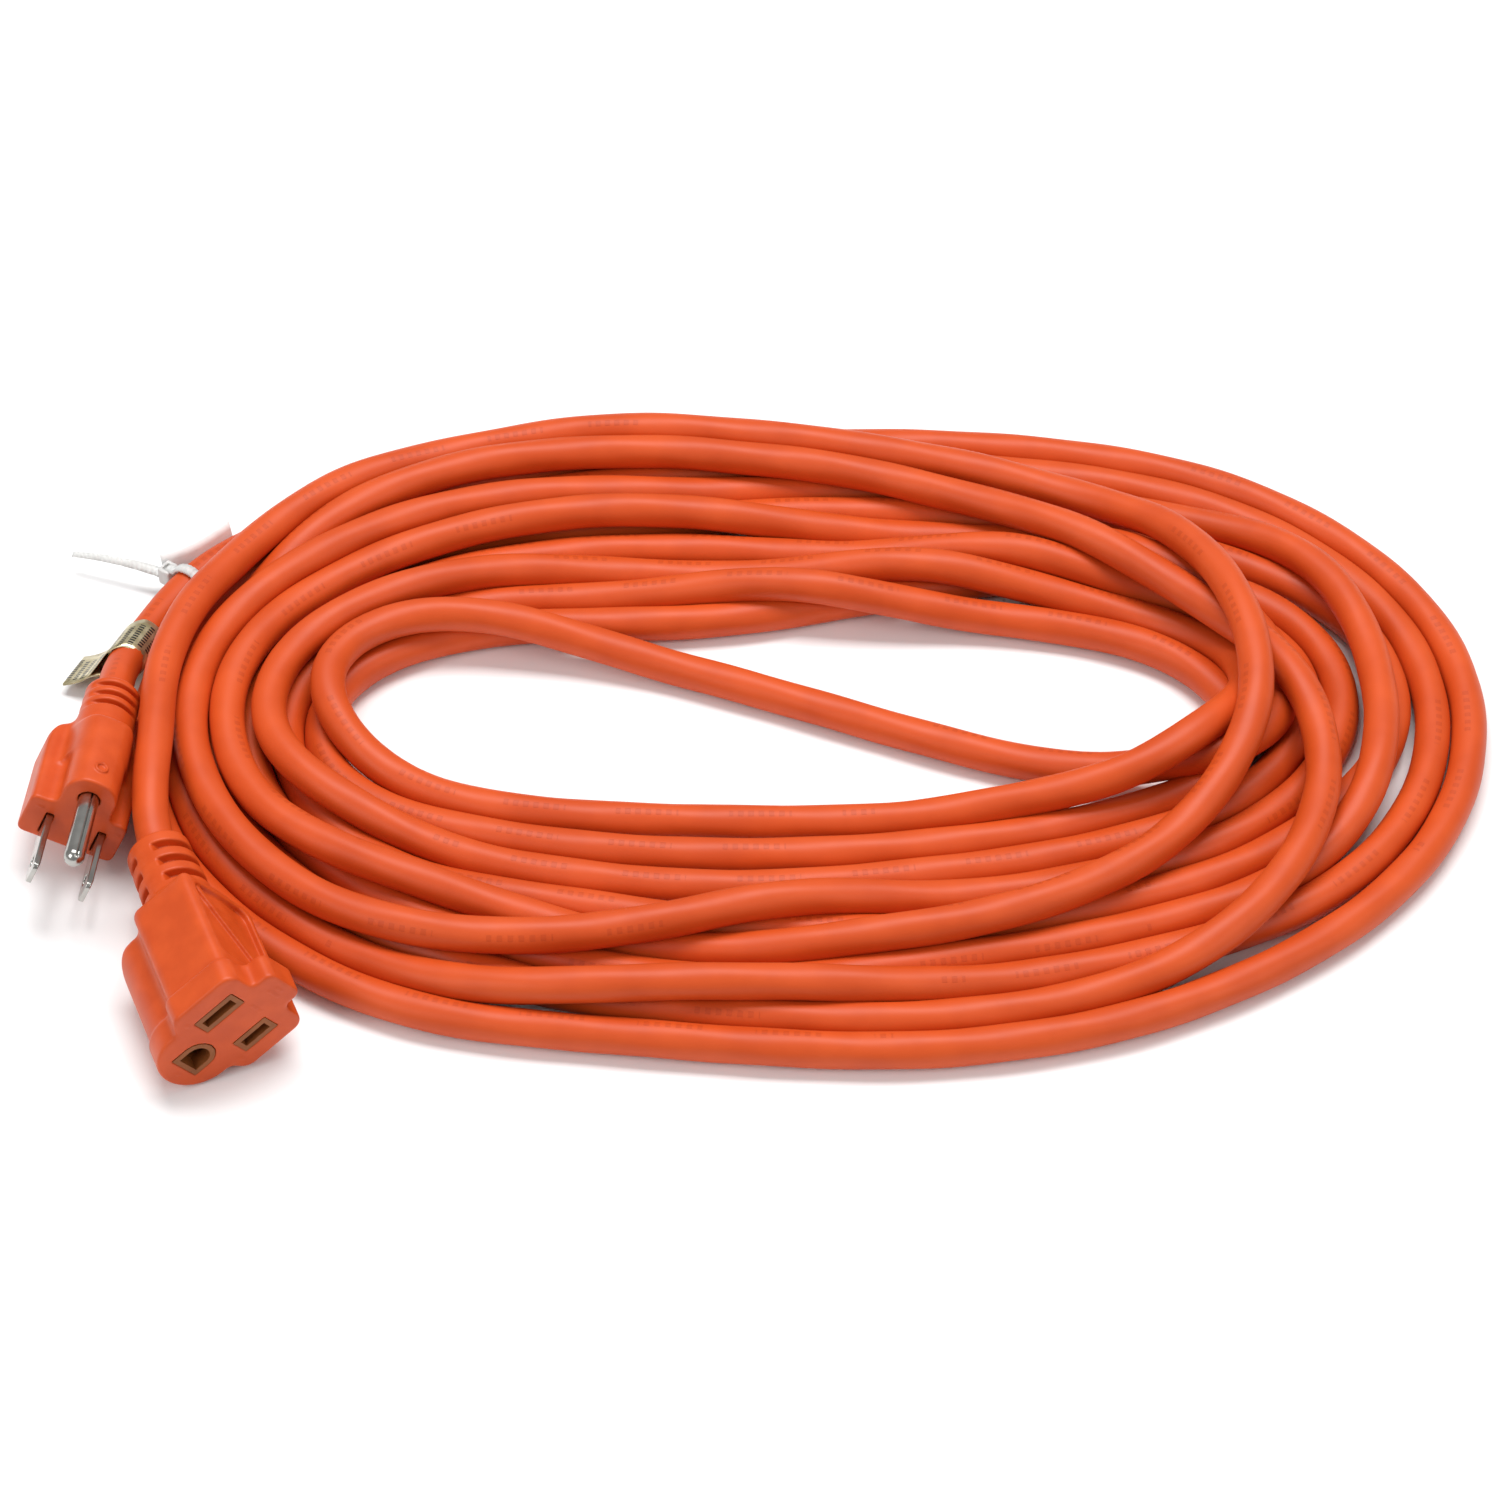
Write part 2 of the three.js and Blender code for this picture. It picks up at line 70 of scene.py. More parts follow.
def area_light(name, location, target, size, watts):
    light = bpy.data.lights.new(name, "AREA")
    light.shape = "RECTANGLE"
    light.size, light.size_y = size
    light.energy = watts
    obj = bpy.data.objects.new(name, light)
    obj.location = location
    scene.collection.objects.link(obj)
    aim(obj, target)


area_light("overhead", (0.05, 0.35, 1.25), (0, 0, 0), (1.1, 0.5), 17)
area_light("front_left", (-0.9, -0.7, 0.9), (0, 0, 0), (0.7, 0.7), 5)
area_light("front_right", (0.9, -0.6, 0.8), (0, 0, 0), (0.5, 0.7), 3)


# ---- materials -----------------------------------------------------------------------
def new_material(name):
    mat = bpy.data.materials.new(name)
    mat.use_nodes = True
    tree = mat.node_tree
    return mat, tree, tree.nodes["Principled BSDF"]


def noise(tree, scale, detail=3.0):
    coords = tree.nodes.new("ShaderNodeTexCoord")
    tex = tree.nodes.new("ShaderNodeTexNoise")
    tex.inputs["Scale"].default_value = scale
    tex.inputs["Detail"].default_value = detail
    tree.links.new(coords.outputs["Object"], tex.inputs["Vector"])
    return tex.outputs["Fac"]


def ramp(tree, value, low, high, start=0.35, end=0.65):
    node = tree.nodes.new("ShaderNodeValToRGB")
    node.color_ramp.elements[0].position = start
    node.color_ramp.elements[1].position = end
    node.color_ramp.elements[0].color = (*low, 1)
    node.color_ramp.elements[1].color = (*high, 1)
    tree.links.new(value, node.inputs["Fac"])
    return node.outputs["Color"]


def spread(tree, value, low, high):
    node = tree.nodes.new("ShaderNodeMapRange")
    node.inputs["To Min"].default_value = low
    node.inputs["To Max"].default_value = high
    tree.links.new(value, node.inputs["Value"])
    return node.outputs["Result"]


def bump(tree, shader, height, strength, distance, under=None):
    node = tree.nodes.new("ShaderNodeBump")
    node.inputs["Strength"].default_value = strength
    node.inputs["Distance"].default_value = distance
    tree.links.new(height, node.inputs["Height"])
    if under is not None:
        tree.links.new(under, node.inputs["Normal"])
    tree.links.new(node.outputs["Normal"], shader.inputs["Normal"])
    return node.outputs["Normal"]


def calc(tree, operation, a, b=None, c=None):
    node = tree.nodes.new("ShaderNodeMath")
    node.operation = operation
    for socket, value in zip(node.inputs, (a, b, c)):
        if value is None:
            continue
        if isinstance(value, (int, float)):
            socket.default_value = value
        else:
            tree.links.new(value, socket)
    return node.outputs["Value"]


def dashes(tree, value, share):
    """1 over the first share of every whole step of value, and 0 over the rest."""
    return calc(tree, "LESS_THAN", calc(tree, "FRACT", value), share)


def within(tree, value, limit):
    return calc(tree, "LESS_THAN", calc(tree, "ABSOLUTE", value), limit)


def product(tree, *values):
    return reduce(lambda a, b: calc(tree, "MULTIPLY", a, b), values)


def split_uv(tree):
    split = tree.nodes.new("ShaderNodeSeparateXYZ")
    tree.links.new(tree.nodes.new("ShaderNodeUVMap").outputs["UV"], split.inputs["Vector"])
    return split.outputs["X"], split.outputs["Y"]


def mix_colour(tree, share, base, colour):
    node = tree.nodes.new("ShaderNodeMix")
    node.data_type = "RGBA"
    tree.links.new(share, node.inputs[0])
    tree.links.new(base, node.inputs[6])
    node.inputs[7].default_value = (*colour, 1)
    return node.outputs[2]


SPECULAR = 0.33


def moulded(name, dark, light, rough, grain=0.04, metal=0.0, scale=160.0):
    """Moulded or drawn stuff: mottled colour, uneven gloss and a fine grain."""
    mat, tree, shader = new_material(name)
    tree.links.new(ramp(tree, noise(tree, scale), dark, light), shader.inputs["Base Color"])
    tree.links.new(spread(tree, noise(tree, scale * 2.2), *rough), shader.inputs["Roughness"])
    shader.inputs["Metallic"].default_value = metal
    shader.inputs["Specular IOR Level"].default_value = SPECULAR
    bump(tree, shader, noise(tree, scale * 12, 2.0), 0.25, grain * MM)
    return mat


ORANGE_DARK, ORANGE_LIGHT = (0.55, 0.064, 0.007), (0.62, 0.080, 0.011)
vinyl = moulded("vinyl_moulded", ORANGE_DARK, ORANGE_LIGHT, (0.36, 0.46), grain=0.05)
nickel = moulded("nickel", (0.42, 0.41, 0.385), (0.54, 0.53, 0.50), (0.14, 0.26), grain=0.02, metal=1.0)
brass = moulded("brass", (0.34, 0.20, 0.06), (0.44, 0.28, 0.09), (0.3, 0.45), metal=1.0)
copper = moulded("copper", (0.60, 0.25, 0.12), (0.72, 0.33, 0.17), (0.3, 0.45), metal=1.0)
tan = moulded("insert", (0.22, 0.062, 0.013), (0.29, 0.086, 0.019), (0.45, 0.6))
ivory = moulded("bridge", (0.72, 0.68, 0.58), (0.80, 0.76, 0.66), (0.5, 0.65))
black = moulded("black_insulation", (0.010, 0.010, 0.011), (0.02, 0.02, 0.022), (0.4, 0.55))
white = moulded("white_insulation", (0.74, 0.74, 0.72), (0.82, 0.82, 0.80), (0.4, 0.55))
green = moulded("green_insulation", (0.02, 0.17, 0.045), (0.03, 0.24, 0.06), (0.4, 0.55))
paper = moulded("paper", (0.86, 0.86, 0.85), (0.93, 0.93, 0.92), (0.55, 0.75), grain=0.06, scale=400)
nylon = moulded("nylon", (0.82, 0.82, 0.80), (0.90, 0.90, 0.88), (0.28, 0.42))
nylon_shader = nylon.node_tree.nodes["Principled BSDF"]
nylon_shader.inputs["Transmission Weight"].default_value = 0.35
nylon_shader.inputs["IOR"].default_value = 1.5

# the print on the jacket, in metres along it
STROKE_PITCH, GROUP_PITCH, RUN_PITCH = 0.0024, 0.0265, 0.31
# the print on the label, in millimetres
ROW_PITCH, BAR_PITCH, PRINT_HALF = 2.3, 0.95, 4.4


def jacket_material():
    """Drawn vinyl jacket. Its UV runs once around (u) and in metres along (v)."""
    mat, tree, shader = new_material("vinyl_jacket")
    orange = ramp(tree, noise(tree, 60), ORANGE_DARK, ORANGE_LIGHT)
    tree.links.new(spread(tree, noise(tree, 140), 0.42, 0.52), shader.inputs["Roughness"])
    shader.inputs["Specular IOR Level"].default_value = SPECULAR
    u, v = split_uv(tree)
    # generic raised strokes in groups and runs, on a line that drifts slowly round the jacket: raised by the
    # bump, and darkened in colour as painted shade of that relief
    drift = calc(tree, "MULTIPLY_ADD", calc(tree, "SINE", calc(tree, "MULTIPLY", v, 2.6)), 0.07, 0.74)
    line = within(tree, calc(tree, "SUBTRACT", u, drift), 0.027)
    stroke = dashes(tree, calc(tree, "MULTIPLY", v, 1 / STROKE_PITCH), 0.5)
    group = dashes(tree, calc(tree, "MULTIPLY", v, 1 / GROUP_PITCH), 0.55)
    run = dashes(tree, calc(tree, "MULTIPLY", v, 1 / RUN_PITCH), 0.55)
    marks = product(tree, line, stroke, group, run)
    # painted shade: the strokes' colour is darkened toward a deep orange, standing in for the shade of their
    # relief
    colour = mix_colour(tree, calc(tree, "MULTIPLY", marks, 0.26), orange, (0.33, 0.028, 0.003))
    tree.links.new(colour, shader.inputs["Base Color"])
    raised = bump(tree, shader, marks, 0.9, 0.12 * MM)
    bump(tree, shader, noise(tree, 1600, 2.0), 0.18, 0.05 * MM, under=raised)
    return mat


jacket = jacket_material()


def foil_material():
    """Gold foil with generic dark bars in rows. Its UV is in millimetres, along the strip and across it."""
    mat, tree, shader = new_material("foil")
    gold = ramp(tree, noise(tree, 420), (0.44, 0.37, 0.20), (0.72, 0.64, 0.42))
    u, v = split_uv(tree)
    row = dashes(tree, calc(tree, "DIVIDE", u, ROW_PITCH), 0.56)
    number = calc(tree, "FLOOR", calc(tree, "DIVIDE", u, ROW_PITCH))
    # each row starts and ends somewhere else
    bar = dashes(tree, calc(tree, "MULTIPLY_ADD", number, 0.37, calc(tree, "DIVIDE", v, BAR_PITCH)), 0.62)
    shift = calc(tree, "MULTIPLY", calc(tree, "SINE", number), 1.2)
    inside = within(tree, calc(tree, "ADD", v, shift), PRINT_HALF)
    marks = product(tree, row, bar, inside)
    tree.links.new(mix_colour(tree, marks, gold, (0.016, 0.014, 0.012)), shader.inputs["Base Color"])
    tree.links.new(calc(tree, "MULTIPLY_ADD", marks, -0.75, 0.75), shader.inputs["Metallic"])
    tree.links.new(spread(tree, noise(tree, 600), 0.22, 0.38), shader.inputs["Roughness"])
    bump(tree, shader, noise(tree, 300, 1.0), 0.35, 0.15 * MM)
    return mat


foil = foil_material()


# ---- placing -------------------------------------------------------------------------
class Place:
    """A local frame in millimetres. On the plug and the connector z runs out of the face and y toward the
    ground pin. On the label and the tie z runs along the lead."""

    def __init__(self, origin, heading, tilt, roll):
        h, t, r = (math.radians(a) for a in (heading, tilt, roll))
        out = np.array([math.cos(h) * math.cos(t), math.sin(h) * math.cos(t), math.sin(t)])
        side = np.cross([0, 0, 1], out)
        side /= np.linalg.norm(side)
        level = np.cross(out, side)
        y = level * math.cos(r) + side * math.sin(r)
        self.axes = np.column_stack([np.cross(y, out), y, out])
        self.origin = np.array(origin, float)

    def at(self, *point):
        return self.origin + self.axes @ np.array(point, float)

    def many(self, points):
        return self.origin + np.asarray(points, float) @ self.axes.T


PLUG = Place((-160, -36.1, 11), -92.7, 4.8, 26.1)
CONNECTOR = Place((-115.4, -96.9, 16.2), -67.1, 1.2, -124.1)
LABEL = Place((-152.85, 27, 7.75), 73.3, -11.5, 10)
TIE = Place((-142, 51.2, 6), 56, -0.8, 0)
# where the cord enters: height of its axis in the local frame, and distance behind the face
PLUG_AXIS_Y, PLUG_END = 8.0, 40.0
CONNECTOR_AXIS_Y, CONNECTOR_END = 1.5, 57.0


def mesh_object(name, verts, faces, mat):
    """A piece from points in millimetres in the row frame."""
    mesh = bpy.data.meshes.new(name)
    verts = np.asarray(verts, float) * MM
    faces = np.asarray(faces, np.int32)
    mesh.vertices.add(len(verts))
    mesh.vertices.foreach_set("co", verts.astype(np.float32).ravel())
    mesh.loops.add(faces.size)
    mesh.loops.foreach_set("vertex_index", faces.ravel())
    mesh.polygons.add(len(faces))
    mesh.polygons.foreach_set("loop_start", np.arange(len(faces), dtype=np.int32) * faces.shape[1])
    mesh.polygons.foreach_set("use_smooth", np.full(len(faces), True))
    mesh.update(calc_edges=True)
    mesh.validate()
    mesh.materials.append(mat)
    obj = bpy.data.objects.new(name, mesh)
    scene.collection.objects.link(obj)
    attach(obj, "root")
    return obj


# ---- cord ----------------------------------------------------------------------------
CORD_D = 8.6
CORD_R = CORD_D / 2
LAYER = 7.4          # rise of a strand that lies in the groove between two others
STATIONS = 12        # per turn
OUTER_OVAL = (16, 6), (156, 98)      # centre and half sizes of the outermost lane
INNER_OVAL = (4, 12), (106, 35)      # what the lanes run toward
OVAL_POWER = 2.15    # 2 is an ellipse, more is squarer

# Each row is one turn of the cord, clockwise seen from above, at twelve stations 30 degrees
# apart: left, back left, ... back, ... right, ... front, ... front left. A pair is the lane,
# counted in cord diameters inward from the outer oval, and the layer it lies in.
TURNS = [
    [None, None, None, (0, 0), (-.1, 0), (.1, 0), (.35, 0), (.4, 0), (.1, 0), (0, 0), (-.35, 0), (-.4, 0)],
    [(-.5, 0), (0, .2), (.4, .5), (1.2, .4), (.5, .9), (.4, 1), (1.05, .9), (1.5, .9), (1.7, 1), (1.5, .9),
     (.3, 1), (-.1, .8)],
    [(.5, .1), (.1, .9), (0, 1.5), (1.8, 1.7), (4.5, 1.8), (5.7, 1.8), (5.3, 2), (3.0, 1.6), (1.2, .9),
     (1.0, .1), (.8, 0), (1.1, 0)],
    [(1.5, 0), (1.8, 0), (2.2, 0), (2.9, 0), (2.9, 0), (1.6, 0), (2.1, 0), (2.9, 0), (4.1, 0), (3.4, 0),
     (3.3, 0), (3.1, 0)],
    [(2.6, 0), (3.4, 0), (5.0, 0), (7.1, .8), (7.5, .4), (6.2, .1), (5.8, 0), (5.9, .4), (6.5, .8),
     (6.5, .1), (5.5, .1), (3.9, 0)],
    [(3.0, 0), (4.8, 0), (6.6, 0), (7.1, 0), (5.6, 0), (3.2, 0), (3.9, 0), (4.8, .2), (5.2, .3), (4.1, .8),
     (1.3, 1.6), (.3, 1.3)],
    [(.2, .9), (.8, 1), (1.4, 1), (2.2, 1), (1.5, .8), (1.8, .7), (2.9, .8), (2.7, .9), (3.0, .6),
     (2.3, .1), (2.3, 0), (1.9, .6)],
    [(1.65, 1), (2.5, .8), (3.6, .7), (4.6, .5), (4.9, .8), (4.4, .3), (4.9, 0), (5.5, 0), (5.8, 0),
     (5.3, 0), (4.3, .1), (3.0, 1.2)],
    [(2.3, 1.85), (3.6, 1.2), (5.1, 1), (6.1, 1.1), (6.3, 1.1), (5.8, 1.1), (5.9, 1.1), (6.2, 1.2),
     (7.2, 1.1), (7.7, .5), (6.7, .5), (4.7, .8)],
    [(3.5, 1), (3.9, 1)],
]
# the strand that crosses the open middle and turns the winding round
CROSSING = [(-84, 37.5, 12), (-69, 37, 12), (-54, 34, 12.3), (-38, 30, 12.8), (-15, 21, 11), (2, 15, 7.5),
            (21, 8, 4.6), (40, 0, 4.3), (59, -6, 4.3), (76, -11, 4.3), (92, -16, 4.3), (104, -15.5, 6),
            (117, -12, 9), (126, -2.5, 11.3)]
# counter-clockwise turns back to the connector: (station, lane, layer)
RETURN = [(6, 4.9, 1), (5, 5.0, 1), (4, 4.7, .9), (3, 3.5, 1), (2, 2.5, 1), (1, 1.2, 1), (0, 1.0, 1.85),
          (-1, 1.6, 1.3), (-2, 2.9, .8), (-3, 3.0, 1), (-4, 4.0, 1.7), (-5, 6.2, 2.3), (-6, 6.5, 2.5),
          (-7, 5.3, 2.4), (-8, 2.8, 2.5), (-9, 1.1, 2.2), (-10, -.5, 1.8)]
# from the last turn over the coil's back to the connector lead
OVER_BACK = [(-92, 89, 17.5), (-106, 79, 16.8), (-116, 68, 16.2)]
# The two leads, as in the CAD. Each starts inside its strain relief. OVER_BACK takes the place of the last
# two points of the connector's.
PLUG_LEAD = [PLUG.at(0, PLUG_AXIS_Y, 1.6 - PLUG_END), PLUG.at(0, PLUG_AXIS_Y, -PLUG_END - 5),
             (-155.5, 15, 11), (-154, 23, 8.6), (-151, 33, 6.6), (-146, 45, 6.1), (-138, 57, 5.9),
             (-127, 68, 4.6), (-113, 75, 4.4), (-98, 78, 4.4)]
CONNECTOR_LEAD = [CONNECTOR.at(0, CONNECTOR_AXIS_Y, 1.6 - CONNECTOR_END),
                  CONNECTOR.at(0, CONNECTOR_AXIS_Y, -CONNECTOR_END - 5), (-141.6, -36, 16.2),
                  (-142.3, -24, 17.5), (-142.5, -12, 17.5), (-143.2, 1, 17.5), (-143.4, 14, 17.2),
                  (-141, 26, 17), (-136.5, 39, 16.5), (-129, 51, 16), (-119, 60, 16), (-108, 67, 16)]


def oval(centre, half, angle):
    bend = lambda v: np.sign(v) * np.abs(v) ** (2 / OVAL_POWER)
    x = centre[0] + half[0] * bend(np.cos(angle))
    y = centre[1] + half[1] * bend(np.sin(angle))
    return np.stack([x, y], -1)


def station_points(stations, lanes, layers):
    angle = np.radians(180 - 360 / STATIONS * stations)
    outer = oval(*OUTER_OVAL, angle)
    inward = oval(*INNER_OVAL, angle) - outer
    inward /= np.linalg.norm(inward, axis=1, keepdims=True)
    return np.column_stack([outer + inward * (lanes * CORD_D)[:, None], CORD_R + layers * LAYER])


def turns_to_points(rows, per_station=4):
    """Smooth route through rows of (station, lane, layer)."""
    rows = np.array(rows, float)
    slopes = np.gradient(rows[:, 1:], rows[:, 0], axis=0)
    f = np.arange(per_station)[:, None] / per_station
    parts = []
    for i in range(len(rows) - 1):
        h = rows[i + 1, 0] - rows[i, 0]
        value = ((2 * f**3 - 3 * f**2 + 1) * rows[i, 1:] + (f**3 - 2 * f**2 + f) * h * slopes[i]
                 + (3 * f**2 - 2 * f**3) * rows[i + 1, 1:] + (f**3 - f**2) * h * slopes[i + 1])
        parts.append(np.column_stack([rows[i, 0] + f * h, value]))
    parts.append(rows[-1:])
    s, lane, layer = np.vstack(parts).T
    return station_points(s, lane, layer)


def resample(points, step):
    s = np.r_[0, np.cumsum(np.linalg.norm(np.diff(points, axis=0), axis=1))]
    u = np.linspace(0, s[-1], int(round(s[-1] / step)) + 1)
    return np.column_stack([np.interp(u, s, points[:, k]) for k in range(3)])


def spline(points, step):
    """Centripetal Catmull-Rom curve through the points, in even steps."""
    p = np.asarray(points, float)
    q = np.vstack([2 * p[0] - p[1], p, 2 * p[-1] - p[-2]])
    out = []
    for a, b, c, d in zip(q, q[1:], q[2:], q[3:]):
        t1 = np.linalg.norm(b - a) ** 0.5
        t2 = t1 + np.linalg.norm(c - b) ** 0.5
        t3 = t2 + np.linalg.norm(d - c) ** 0.5
        t = np.linspace(t1, t2, int(np.linalg.norm(c - b)) + 2, endpoint=False)[:, None]
        ab = a + (b - a) * t / t1
        bc = b + (c - b) * (t - t1) / (t2 - t1)
        cd = c + (d - c) * (t - t2) / (t3 - t2)
        left = ab + (bc - ab) * t / t2
        right = bc + (cd - bc) * (t - t1) / (t3 - t1)
        out.append(left + (right - left) * (t - t1) / (t2 - t1))
    out.append(p[-1:])
    return resample(np.vstack(out), step)


def route_points():
    rows = [(STATIONS * n + s, *pair)
            for n, turn in enumerate(TURNS) for s, pair in enumerate(turn) if pair]
    return np.vstack([PLUG_LEAD, turns_to_points(rows)[1:], CROSSING, turns_to_points(RETURN),
                      OVER_BACK, CONNECTOR_LEAD[-3::-1]])


STEP = 4.0           # between the points that settle
TOUCH = 8.75         # strands nearer than this push each other away
ROUNDS = 420
WATCH = 5.0          # pairs this much further apart than TOUCH are followed too
RENEW = 8            # rounds between two searches for such pairs
SKIP = 8             # points nearer than this along the cord are no pair
BENDS = ((1, 0.25), (2, 0.25), (3, 0.2), (5, 0.05))     # reach in points, and stiffness over it
HOLD, HOLD_LATE = 0.05, 0.02    # sideways pull to the drawn route: fading, and staying
LIFT, WEIGHT = 0.03, 0.12       # upward pull to the drawn route, fading, and the fall in each round
SPRING = 0.25        # share of an error of length that a round takes out
OVERSHOOT = 1.3      # of a push between strands
FREE = 4             # points at the inner end of each lead that are not held


def smooth(x):
    return (x[:-2] + 2 * x[1:-1] + x[2:]) / 4


def near_pairs(x):
    """Index pairs of points that are near each other but not along the cord."""
    coarse = x.astype(np.float32)
    square = (coarse**2).sum(1)
    apart = square[:, None] + square[None, :] - 2 * coarse @ coarse.T
    return np.nonzero(np.triu(apart < (TOUCH + WATCH) ** 2, SKIP))


def push_apart(x, near_i, near_j):
    """One step that moves touching strands away from each other."""
    n = len(x)
    d = x[near_j] - x[near_i]
    r = np.linalg.norm(d, axis=1)
    touching = r < TOUCH
    i, j, d, r = near_i[touching], near_j[touching], d[touching], r[touching]
    push = d * ((TOUCH / np.maximum(r, 1) - 1) * 0.5)[:, None]
    many = np.bincount(i, minlength=n) + np.bincount(j, minlength=n)
    total = [np.bincount(j, push[:, c], minlength=n) - np.bincount(i, push[:, c], minlength=n)
             for c in range(3)]
    move = np.column_stack(total) / np.maximum(1, many)[:, None]
    for _ in range(3):
        move[1:-1] = smooth(move)
    return OVERSHOOT * move


def settle(points):
    """Lets the coil lie down: the cord stays stiff, keeps its ends, and rests on the floor and on itself."""
    x = spline(points, STEP)
    rest = np.linalg.norm(np.diff(x, axis=0), axis=1).mean()
    # the leads stay where the CAD has them
    first = resample(spline(PLUG_LEAD, 1.0), rest)[:-FREE]
    last = resample(spline(CONNECTOR_LEAD[:-2], 1.0), rest)[:-FREE][::-1]
    drawn = x.copy()
    for turn in range(ROUNDS):
        left = 1 - turn / ROUNDS
        x[:, :2] += (HOLD * left + HOLD_LATE) * (drawn[:, :2] - x[:, :2])
        x[:, 2] += LIFT * left * (drawn[:, 2] - x[:, 2]) - WEIGHT
        for k, stiff in BENDS:
            sag = np.zeros_like(x)
            sag[k:-k] = (x[: -2 * k] + x[2 * k :]) / 2 - x[k:-k]
            kink = np.zeros_like(x)
            kink[2 * k : -2 * k] = (sag[k : -3 * k] + sag[3 * k : -k]) / 2 - sag[2 * k : -2 * k]
            x -= stiff * kink
        if turn % RENEW == 0:
            near_i, near_j = near_pairs(x)
        for _ in range(3):
            x += push_apart(x, near_i, near_j)
        stretch = np.diff(x, axis=0)
        stretch *= (1 - rest / np.linalg.norm(stretch, axis=1, keepdims=True)) * SPRING
        x[:-1] += stretch
        x[1:] -= stretch
        x[:, 2] = np.maximum(x[:, 2], CORD_R)
        x[: len(first)] = first
        x[-len(last) :] = last
    for _ in range(6):
        x[1:-1] = smooth(x)
    return x


def tube(points, radius_at, sides):
    """Points of the rings of a tube, and how far along it each ring lies."""
    tangent = np.gradient(points, axis=0)
    tangent /= np.linalg.norm(tangent, axis=1, keepdims=True)
    normal = np.zeros_like(points)
    ref = np.cross(tangent[0], (0, 0, 1))
    for k, t in enumerate(tangent):
        ref = ref - t * (ref @ t)
        ref /= np.linalg.norm(ref)
        normal[k] = ref
    binormal = np.cross(tangent, normal)
    along = np.r_[0, np.cumsum(np.linalg.norm(np.diff(points, axis=0), axis=1))]
    a = np.linspace(0, 2 * np.pi, sides, endpoint=False)
    r = radius_at(along[:, None], a[None, :])
    ring = (points[:, None] + r[..., None] * (np.cos(a)[None, :, None] * normal[:, None]
                                              + np.sin(a)[None, :, None] * binormal[:, None]))
    return ring.reshape(-1, 3), along


def grid_faces(rows, around):
    """Quads between closed rings in a row, with the row and the place around of each."""
    i, j = np.meshgrid(np.arange(rows - 1), np.arange(around), indexing="ij")
    k = (j + 1) % around
    faces = np.stack([i * around + j, i * around + k, (i + 1) * around + k, (i + 1) * around + j], -1)
    return faces.reshape(-1, 4), i, j


def cap_ends(mesh, rings, sides):
    bm = bmesh.new()
    bm.from_mesh(mesh)
    bm.verts.ensure_lookup_table()
    for start, turn in ((0, -1), ((rings - 1) * sides, 1)):
        loop = [bm.verts[start + k] for k in range(sides)]
        bm.faces.new(loop[::turn]).smooth = False
    bm.to_mesh(mesh)
    bm.free()


CORD_SIDES = 20
RING_STEP = 2.4      # between the rings of the cord
TWIST = 82.0         # one turn of the three conductors inside


def cord_piece(centre):
    points = resample(centre, RING_STEP)
    # three conductors twisted inside show through as a faint slow spiral
    lobes = lambda s, a: CORD_R - 0.05 + 0.07 * np.cos(3 * (a - 2 * np.pi * s / TWIST))
    verts, along = tube(points, lobes, CORD_SIDES)
    faces, i, j = grid_faces(len(points), CORD_SIDES)
    obj = mesh_object("cord_jacket", verts, faces, jacket)
    v = along * MM
    uv = np.empty((len(faces), 4, 2))
    uv[..., 0] = np.stack([j, j + 1, j + 1, j], -1).reshape(-1, 4) / CORD_SIDES
    uv[..., 1] = np.stack([v[i], v[i], v[i + 1], v[i + 1]], -1).reshape(-1, 4)
    layer = obj.data.uv_layers.new(name="UVMap")
    layer.data.foreach_set("uv", uv.astype(np.float32).ravel())
    cap_ends(obj.data, len(points), CORD_SIDES)
    return obj, points


cord, cord_points = cord_piece(settle(route_points()))
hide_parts("cord_coil", "plug_lead_jacket", "connector_lead_jacket")


# ---- solids from distance fields -----------------------------------------------------
def smin(a, b, k):
    h = np.clip(0.5 + 0.5 * (b - a) / k, 0, 1)
    return b + (a - b) * h - k * h * (1 - h)


def smax(a, b, k):
    return -smin(-a, -b, k)


def rrect(x, y, x0, x1, y0, y1, r):
    """Distance to a rectangle with rounded corners."""
    dx = np.abs(x - (x0 + x1) / 2) - (x1 - x0) / 2 + r
    dy = np.abs(y - (y0 + y1) / 2) - (y1 - y0) / 2 + r
    return np.hypot(np.maximum(dx, 0), np.maximum(dy, 0)) + np.minimum(np.maximum(dx, dy), 0) - r


def between(z, z0, z1):
    return np.abs(z - (z0 + z1) / 2) - (z1 - z0) / 2


def block(x, y, z, x0, x1, y0, y1, z0, z1):
    return np.maximum(np.maximum(between(x, x0, x1), between(y, y0, y1)), between(z, z0, z1))


def bore(r, z, radius, z0, z1):
    return np.maximum(r - radius, between(z, z0, z1))


def well(x, y, z, wide, low, high, z0, z1):
    """A cavity whose half width and lower and upper sides may change along z."""
    return np.maximum(np.maximum(np.abs(x) - wide, np.maximum(y - high, low - y)), between(z, z0, z1))


def join(*shapes):
    return reduce(np.minimum, shapes)


def fade(z, start, length):
    """0 before start, then up to 1 over length, going back from the face."""
    return np.clip((-z - start) / length, 0, 1)


